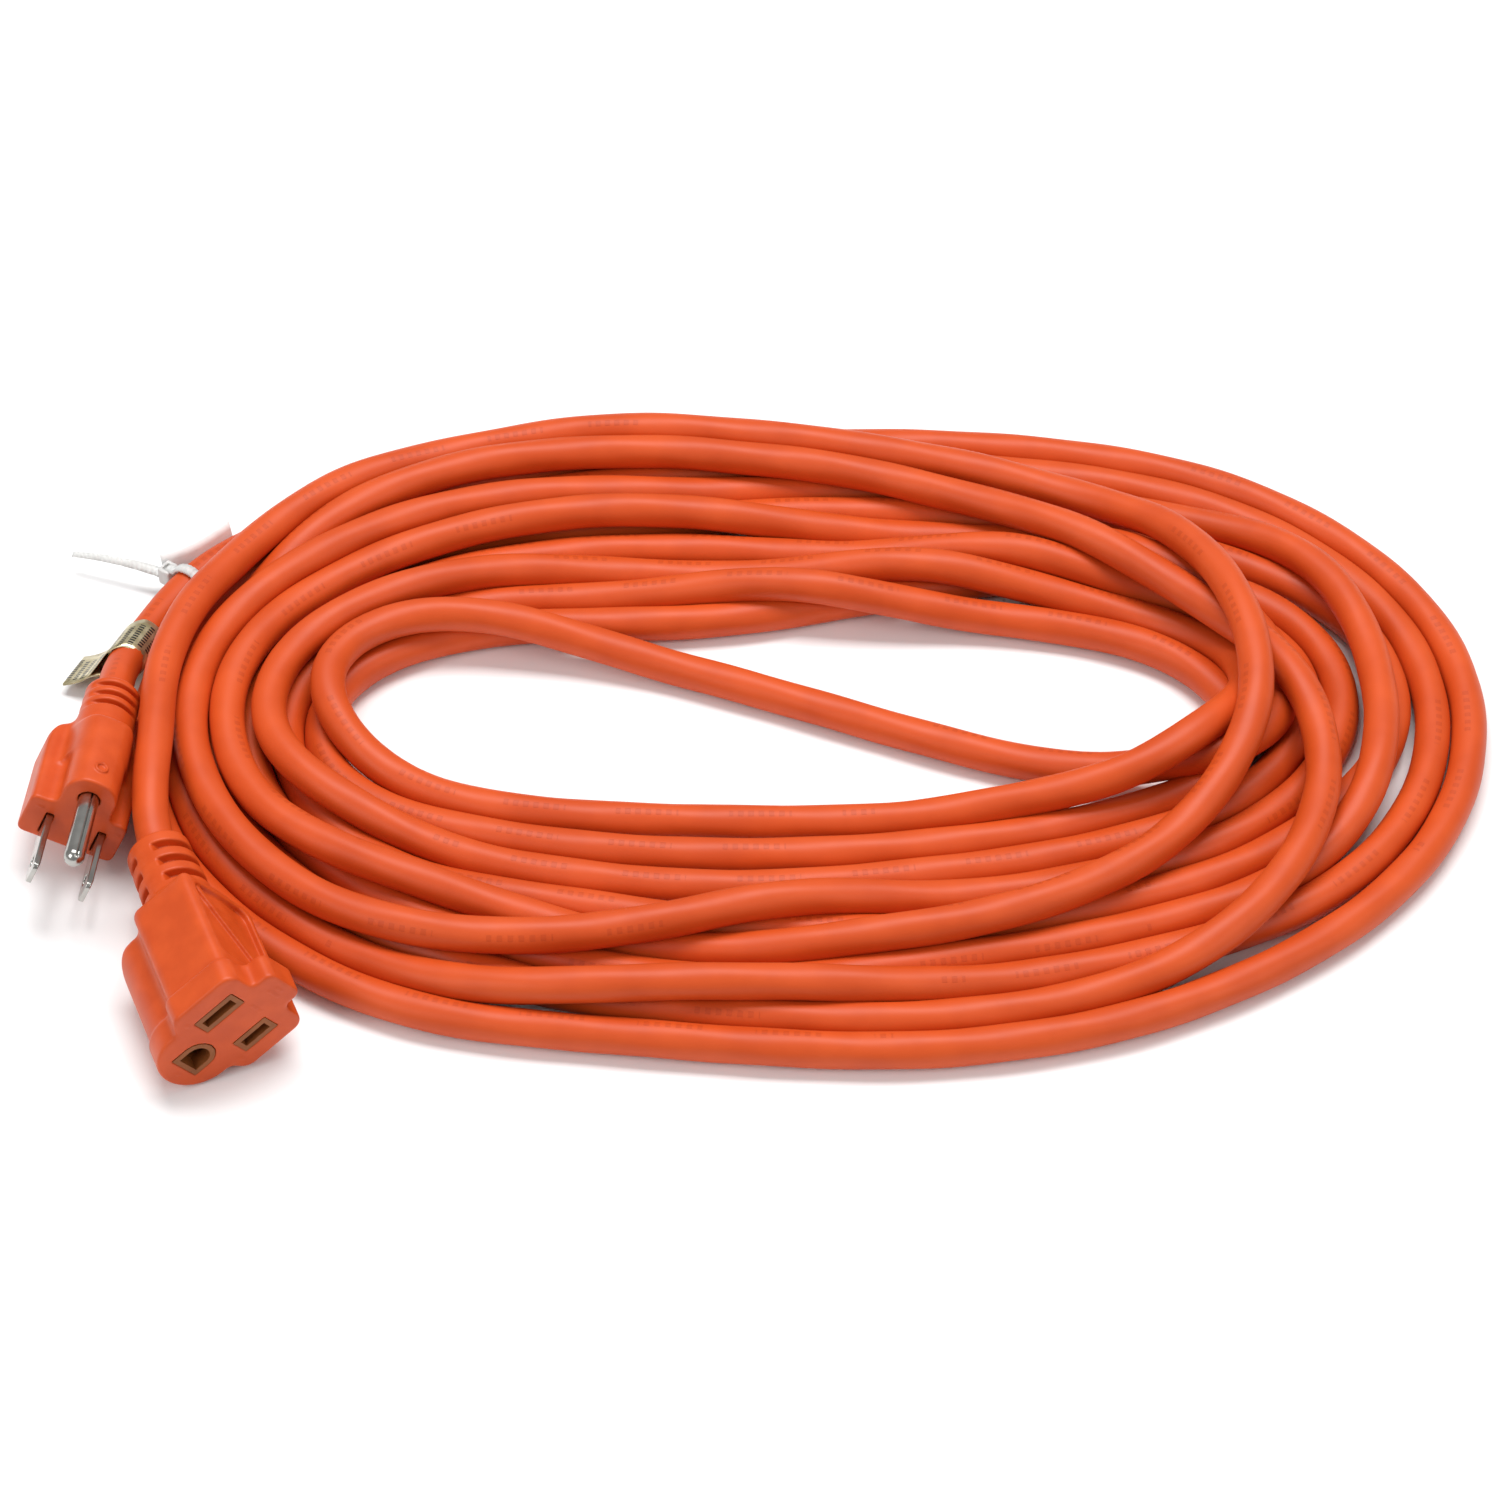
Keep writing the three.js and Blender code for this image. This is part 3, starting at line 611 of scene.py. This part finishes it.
def field_piece(name, field, low, high, cell, place, mat):
    """Closed smooth mesh of the space where field is negative, in place's frame, by surface nets."""
    low, high = np.array(low, float) - 2 * cell, np.array(high, float) + 2 * cell
    axes = [np.arange(a, b, cell) for a, b in zip(low, high)]
    value = field(*np.meshgrid(*axes, indexing="ij"))
    shape = np.array(value.shape)
    cells = shape - 1
    total, count, quads = np.zeros((cells.prod(), 3)), np.zeros(cells.prod()), []
    for axis in range(3):
        a = np.take(value, range(0, shape[axis] - 1), axis)
        b = np.take(value, range(1, shape[axis]), axis)
        edge = np.argwhere((a < 0) != (b < 0))
        va, vb = a[tuple(edge.T)], b[tuple(edge.T)]
        point = edge.astype(float)
        point[:, axis] += va / (va - vb)
        p, q = (axis + 1) % 3, (axis + 2) % 3
        ring = []
        for dp, dq in ((0, 0), (-1, 0), (-1, -1), (0, -1)):
            c = edge.copy()
            c[:, p] += dp
            c[:, q] += dq
            flat = np.ravel_multi_index(c.T, cells)
            ring.append(flat)
            count += np.bincount(flat, minlength=len(count))
            for k in range(3):
                total[:, k] += np.bincount(flat, point[:, k], minlength=len(count))
        ring = np.stack(ring, -1)
        ring[va > 0] = ring[va > 0][:, ::-1]
        quads.append(ring)
    used = count > 0
    index = np.cumsum(used) - 1
    verts = low + cell * total[used] / count[used, None]
    # move the points onto the surface itself
    for _ in range(2):
        f = field(*verts.T)
        h = 0.1 * cell
        slope = np.stack([(field(*(verts + h * d).T) - field(*(verts - h * d).T)) / (2 * h)
                          for d in np.eye(3)], -1)
        step = (f / np.maximum((slope**2).sum(1), 0.25))[:, None] * slope
        verts = verts - np.clip(step, -0.4 * cell, 0.4 * cell)
    return mesh_object(name, place.many(verts), index[np.vstack(quads)], mat)


# ---- plug and connector --------------------------------------------------------------
PITCH = 12.7         # between the blades, and between the slots
GROUND_Y = 11.9      # from the blade line to the ground pin
WALL_Z = -4, 2       # the face, with some room, that blades and slots pass through
SLOT_RIM = 1.32      # of the insert that shows round each opening of the connector
JACKET_GAP = 0.12    # between the cord and the hole it enters
CORE_R = 3.65        # passage for the conductors behind the face
PIN_R, PIN_TIP = 2.375, 21.0
BLADE_HALF, BLADE_TIP = 3.175, 17.3
ROOT_Z = -12.2       # inner end of the blades and the pin
SLOTS = (-1, 7.0), (1, 8.4)      # side and height of each
PLUG_GROOVES = -31.0, -34.2, -37.4
CONNECTOR_GROOVES = -42.4, -47.4, -52.4


def relief(x, y, z, axis_y, z0, z1, r0, r1, grooves, depth, half):
    """Tapered sleeve with grooves whose depth follows the angle round the cord."""
    r = np.hypot(x, y - axis_y)
    skin = r0 + (r1 - r0) * (z0 - z) / (z0 - z1)
    sleeve = smax(r - skin, z1 - z, 0.9)
    for g in grooves:
        cut = smax(np.abs(z - g) - half, skin - depth(x, y - axis_y, r) - r, 0.25)
        sleeve = smax(sleeve, -cut, 0.35)
    return smax(sleeve, z - z0, 0.3)


def raised_bars(body, x, y, z, bars, half_depth):
    """Small raised marks on the face, instead of its lettering: (x, y, half width, half height)."""
    for mx, my, w, h in bars:
        mark = smax(rrect(x, y, mx - w, mx + w, my - h, my + h, 0.2), np.abs(z + 0.3) - half_depth, 0.1)
        body = np.minimum(body, mark)
    return body


def plug_body_field(x, y, z):
    past = 40            # well past the face at z = 0, which cuts it off below
    sides, heights, back = (-12.6, 11.7), (-5.2, 7.6), -29
    slab = smax(rrect(x, y, *sides, *heights, 2.6), rrect(x, z, *sides, back, past, 9.5), 1.6)
    slab = smax(slab, rrect(y, z, *heights, back, past, 3.8), 1.0)
    top, hump_back = 18.2, -23.5
    hump = smax(rrect(x, y, -6.3, 6.3, -3, top, 6.2), rrect(y, z, -30, top, hump_back, past, 2.6), 1.0)
    body = smin(slab, hump, 2.4)
    crescent = lambda dx, dy, r: 1.75 * np.clip(2.4 - 2.6 * np.abs(dx) / np.maximum(r, 1), 0.0, 1)
    sleeve = relief(x, y, z, PLUG_AXIS_Y, -14, -PLUG_END, 7.2, 6.6, PLUG_GROOVES, crescent, 0.75)
    body = smin(body, sleeve, 2.4)
    body = smax(body, z, 0.7)
    # a raised ring on the hump, and short bars by the pins
    ring = np.abs(np.hypot(x, z + 5.2) - 1.3) - 0.28
    body = np.minimum(body, smax(ring, y - 18.42, 0.1) + 100 * (y < 16))
    bars = (-9.4, 4.7, 0.8, 0.25), (9.4, 4.7, 0.8, 0.25), (4.0, 14.2, 0.5, 0.22)
    body = raised_bars(body, x, y, z, bars, 0.5)
    # room for the bridge, the blades, the pin and the conductors, narrowing toward the cord
    bridge_z, wires_z = (-12.3, -2.7), (-27.4, -12.2)
    f = fade(z, 19, 8)
    low = -2.5 + 6.9 * f
    r = np.hypot(x, y - PLUG_AXIS_Y)
    hollow = join(
        block(x, y, z, -9.9, 9.9, -4.2, 5.5, *bridge_z),
        block(x, y, z, -4.3, 4.3, 0, 15.5, *bridge_z),
        *(block(x - side * PITCH / 2, y, z, -0.98, 0.98, -3.42, 3.42, *WALL_Z) for side in (-1, 1)),
        bore(np.hypot(x, y - GROUND_Y), z, 2.6, *WALL_Z),
        well(x, y, z, 8.7 - 5.1 * f, low, 5.4 + 6.2 * f, *wires_z),
        well(x, y, z, 4.3 - 0.7 * f, low, 13.6 - 2.0 * f, *wires_z),
        bore(r, z, CORE_R, -41, -27),
        bore(r, z, CORD_R + JACKET_GAP, -42, 2.2 - PLUG_END))
    return np.maximum(body, -hollow)


def connector_body_field(x, y, z):
    past = 60            # well past the face at z = 0, which cuts it off below
    sides, heights, back = (-12.9, 12.9), (-8.8, 8.6), -38
    slab = smax(rrect(x, y, *sides, *heights, 3.4), rrect(x, z, *sides, back, past, 6.5), 1.6)
    slab = smax(slab, rrect(y, z, *heights, back, past, 5), 1.2)
    top, lobe_back = 20.4, -33
    lobe = smax(rrect(x, y, -8.7, 8.7, -4, top, 8.6), rrect(y, z, -30, top, lobe_back, past, 6.5), 2.0)
    body = smin(slab, lobe, 3.0)
    # recessed grip panel with a slanting rib
    panel = smax(rrect(x, z, -9.6, 9.6, -33.5, -10.5, 3), y + 6.95, 0.2)
    rib = smax(np.abs(0.82 * x + 0.57 * (z + 22)) - 0.8, -7.9 - y, 0.1)
    body = smax(body, -smax(panel, -rib, 0.3), 0.5)
    flange = smin(rrect(x, y, -13.5, 13.5, -9.4, 9.2, 3.4), rrect(x, y, -9.3, 9.3, -4, 21, 9.2), 2.6)
    flange = smin(flange, rrect(x, y, -5.6, 5.6, -14.7, 0, 2.2), 2.2)
    body = smin(body, smax(flange, between(z, -7, 20), 0.9), 0.5)
    ladder = lambda dx, dy, r: 2.3 * np.clip((np.abs(dy) / np.maximum(r, 1) - 0.3) * 5, 0, 1)
    sleeve = relief(x, y, z, CONNECTOR_AXIS_Y, -30, -CONNECTOR_END, 8.3, 7.4, CONNECTOR_GROOVES, ladder,
                    1.15)
    body = smin(body, sleeve, 3.0)
    body = smax(body, z, 0.8)
    bars = ((9.6, 6.6, 0.6, 0.25), (-9.6, 6.6, 0.6, 0.25), (0, 18.0, 0.6, 0.25), (0, -10.8, 1.8, 0.25),
            (0, -12.4, 1.2, 0.25), (-1.5, -5.5, 0.5, 0.22), (0, -5.5, 0.5, 0.22), (1.5, -5.5, 0.5, 0.22))
    body = raised_bars(body, x, y, z, bars, 0.48)
    # room for the insert, behind openings wide enough to show it, and for the conductors
    insert_z, wires_z = (-22.3, -2.2), (-38, -22)
    f = fade(z, 27, 10)
    low = -2.4 + 0.2 * f
    r = np.hypot(x, y - CONNECTOR_AXIS_Y)
    slots = [block(x - side * PITCH / 2, y, z, -2.42, 2.42, -long / 2 - SLOT_RIM, long / 2 + SLOT_RIM,
                   *WALL_Z) for side, long in SLOTS]
    hollow = join(
        block(x, y, z, -10.7, 10.7, -6.1, 6.3, *insert_z),
        block(x, y, z, -5.7, 5.7, 0, 17.3, *insert_z),
        *slots,
        np.maximum(ground_hole(x, y, SLOT_RIM), between(z, *WALL_Z)),
        well(x, y, z, 8.6 - 5.0 * f, low, 6 - 0.9 * f, *wires_z),
        well(x, y, z, 4.6 - f, low, 13.8 - 8.7 * f, *wires_z),
        bore(r, z, CORE_R, -58, -37),
        bore(r, z, CORD_R + JACKET_GAP, -59, 2.2 - CONNECTOR_END))
    return np.maximum(body, -hollow)


def ground_hole(x, y, grow):
    """Distance to the ground opening: round toward the slots and flat on the far side."""
    half = 2.8 + grow
    return np.maximum(np.maximum(np.abs(x) - half, y - GROUND_Y - 3 - grow),
                      np.where(y < GROUND_Y, np.hypot(x, y - GROUND_Y) - half, -1))


plug_body = field_piece("plug_body_moulding", plug_body_field, (-12.9, -5.6, -40.4), (12, 18.8, 0.6),
                        0.36, PLUG, vinyl)
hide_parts("plug_body")
connector_body = field_piece("connector_body_moulding", connector_body_field, (-13.8, -15, -57.4),
                             (13.8, 21.2, 0.6), 0.4, CONNECTOR, vinyl)
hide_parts("connector_body")


def crimp_barrel(r, z):
    """Open barrel behind a blade or the pin, round its conductor."""
    return np.maximum(np.maximum(r - 1.5, 0.95 - r), between(z, -17.5, -12.0))


def blade_field(side):
    def field(x, y, z):
        dx = x - side * PITCH / 2
        taper = 0.76 - 0.22 * np.clip((z - 15.3) / 2.0, 0, 1)
        strip = smax(np.abs(dx) - taper, rrect(y, z, -BLADE_HALF, BLADE_HALF, ROOT_Z, BLADE_TIP, 1.3), 0.22)
        strip = smax(strip, 1.6 - np.hypot(y, z - 12.7), 0.2)
        return np.minimum(strip, crimp_barrel(np.hypot(dx, y), z))
    return field


def pin_field(x, y, z):
    dy = y - GROUND_Y
    r = np.hypot(x, dy)
    tip = PIN_TIP - PIN_R
    body = np.where(z > tip, np.sqrt(r**2 + np.maximum(z - tip, 0) ** 2) - PIN_R, r - PIN_R)
    body = np.maximum(body, ROOT_Z - z)
    # folded from sheet: a seam runs along its outer side
    seam = smax(np.abs(x - 0.1) - 0.16, 1.7 - dy, 0.1)
    body = smax(body, -seam, 0.2)
    return np.minimum(body, crimp_barrel(r, z))


for side, who in ((1, "line"), (-1, "neutral")):
    x0 = side * PITCH / 2
    blade = field_piece(f"plug_{who}_blade_formed", blade_field(side), (x0 - 1.6, -3.3, -17.6),
                        (x0 + 1.6, 3.3, 17.4), 0.16, PLUG, nickel)
    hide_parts(f"plug_{who}_blade")
pin = field_piece("plug_ground_pin_folded", pin_field, (-2.5, GROUND_Y - 2.5, -17.6),
                  (2.5, GROUND_Y + 2.5, 21.1), 0.16, PLUG, nickel)
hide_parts("plug_ground_pin")


# ---- label, tie and tag --------------------------------------------------------------
def with_ends(name, rings, place, mat, uv):
    """Closed skin over a row of closed rings (row, around, xyz), each flat enough to cap with quads."""
    rows, around = rings.shape[:2]
    faces, _, _ = grid_faces(rows, around)
    caps = []
    for start, turn in ((0, -1), ((rows - 1) * around, 1)):
        for k in range(around // 2 - 1):
            quad = [start + k, start + k + 1, start + around - 2 - k, start + around - 1 - k]
            caps.append(quad[::turn])
    faces = np.vstack([faces, caps])
    obj = mesh_object(name, place.many(rings.reshape(-1, 3)), faces, mat)
    layer = obj.data.uv_layers.new(name="UVMap")
    layer.data.foreach_set("uv", uv.reshape(-1, 2)[faces.ravel()].astype(np.float32).ravel())
    return obj


def strip(name, path, across, half_wide, half_thick, place, mat, slot_name, columns, bevel=0.3):
    """A strap or sheet: a flat section carried along a path, with across giving its width direction."""
    path, across = np.asarray(path, float), np.asarray(across, float)
    n = len(path)
    tangent = np.gradient(path, axis=0)
    normal = np.cross(across, tangent)
    normal /= np.linalg.norm(normal, axis=1, keepdims=True)
    wide, thick = np.broadcast_to(half_wide, n), np.broadcast_to(half_thick, n)
    w = np.linspace(-1, 1, columns + 1)
    section = [(a, 1.0) for a in w] + [(a, -1.0) for a in w[::-1]]
    rings = []
    for a, b in section:
        edge = 1 - bevel * (abs(a) == 1)
        rings.append(path + across * (a * wide)[:, None] + normal * (b * thick * edge)[:, None])
    rings = np.stack(rings, 1)
    s = np.r_[0, np.cumsum(np.linalg.norm(np.diff(path, axis=0), axis=1))]
    uv = np.stack([np.stack([s, a * wide], -1) for a, _ in section], 1)
    return with_ends(name, rings, place, mat, uv)


def flat_path(points, step):
    return spline(np.column_stack([np.array(points, float), np.zeros(len(points))]), step)


def arc(radius, first, last, step):
    """Points round the cord, by degrees."""
    angles = np.radians(np.arange(first, last, step))
    return [(radius * math.cos(a), radius * math.sin(a)) for a in angles]


def rating_label():
    path = flat_path([(15.6, -4.6), (13, -4.0), (10.2, -3.0), (8, -1.7), (6.1, 0.2), (4.6, 1.9)]
                     + arc(CORD_R + 0.42, 48, 325, 12)
                     + [(5.2, -2.3), (6.8, -1.75), (8.2, -2.2), (10.2, -3.35), (13, -4.35), (15.6, -4.95)],
                     0.45)
    # the strip was wound on askew, so the flag sits nearer the plug than the sleeve
    path[:, 2] = -4.4 * np.clip((path[:, 0] + 1) / 8, 0, 1)
    across = np.tile([0, 0, 1.0], (len(path), 1))
    return strip("rating_label_foil", path, across, 6.3, 0.11, LABEL, foil, "foil", 6)


TIE_STEP = 0.25
RIB_PITCH = 1.25


def cable_tie():
    path = flat_path([(6.9, 2.0), (5.4, 2.2)] + arc(CORD_R + 0.7, 26, 340, 9)
                     + [(5.6, -1.9), (7.2, -0.9), (9.5, -0.3), (16, 0.3), (24, 0.1), (32, -1.0)], TIE_STEP)
    # the tail runs askew, turns and narrows toward its end
    tail = np.clip((path[:, 0] - 7) / 25, 0, 1) * (np.arange(len(path)) > len(path) / 2)
    path[:, 2] = -7.4 * tail
    ribs = 0.09 * np.where(np.sin(np.arange(len(path)) * TIE_STEP * 2 * math.pi / RIB_PITCH) > 0, 1, -1)
    turned = 0.7 * np.clip(3 * tail, 0, 1)
    across = np.column_stack([np.zeros(len(turned)), turned, np.sqrt(1 - turned**2)])
    return strip("cable_tie_strap", path, across, 1.35 - 0.6 * tail, 0.5 - 0.1 * tail + ribs,
                 TIE, nylon, "nylon", 2)


def tie_head_field(x, y, z):
    body = smax(rrect(x, y, 5.0, 8.9, -2.5, 2.3, 0.8), rrect(x, z, 5.0, 8.9, -2.1, 2.1, 0.7), 0.4)
    window = rrect(x, z, 6.1, 7.9, -1.1, 1.1, 0.3)
    return smax(body, -smax(window, 1.2 - y, 0.1), 0.15)


def paper_tag():
    path = spline([(-149.4, 57.4, 4.9), (-146.1, 58.7, 4.9), (-142.8, 60.4, 4.9), (-139.5, 63.0, 4.9),
                   (-136.2, 66.2, 4.9), (-133.2, 69.4, 4.9)], 0.8)
    lean = np.linspace(0, 1, len(path))
    across = np.column_stack([-0.10 - 0.06 * lean, 0.12 + 0.10 * lean, np.ones(len(path))])
    across /= np.linalg.norm(across, axis=1, keepdims=True)
    # its points are given in the row frame itself
    row_frame = Place((0, 0, 0), 0, 0, 0)
    row_frame.axes = np.eye(3)
    return strip("paper_tag_sheet", path, across, 4.8, 0.12, row_frame, paper, "paper", 4, bevel=0)


label = rating_label()
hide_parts("rating_label")
tie = cable_tie()
tie_head = field_piece("cable_tie_head", tie_head_field, (4.8, -2.7, -2.3), (9.1, 2.5, 2.3), 0.2,
                       TIE, nylon)
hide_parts("cable_tie")
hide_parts("cable_tie")
tag = paper_tag()
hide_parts("paper_tag")

# ---- CAD pieces that keep their shape ------------------------------------------------
FINISH = {"insert": tan, "bridge": ivory, "contact": brass, "wire": copper}
INSULATION = {"line": black, "neutral": white, "ground": green}
for node_name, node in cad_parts.items():
    words = node_name.split("_")
    kind = words[-1]
    mat = INSULATION[words[1]] if kind == "insulation" else FINISH.get(kind)
    if mat is not None:
        for k in range(len(node.data.materials)):
            node.data.materials[k] = mat

# ---- floor ---------------------------------------------------------------------------
floor_mat, tree, shader = new_material("floor")
nearly_white = ramp(tree, noise(tree, 3), (0.90, 0.90, 0.90), (0.93, 0.93, 0.93))
tree.links.new(nearly_white, shader.inputs["Base Color"])
shader.inputs["Roughness"].default_value = 0.8
bpy.ops.mesh.primitive_plane_add(size=8, location=(0, 0, FLOOR_Z))
floor = bpy.context.object
floor.name = "floor"
floor.data.materials.append(floor_mat)
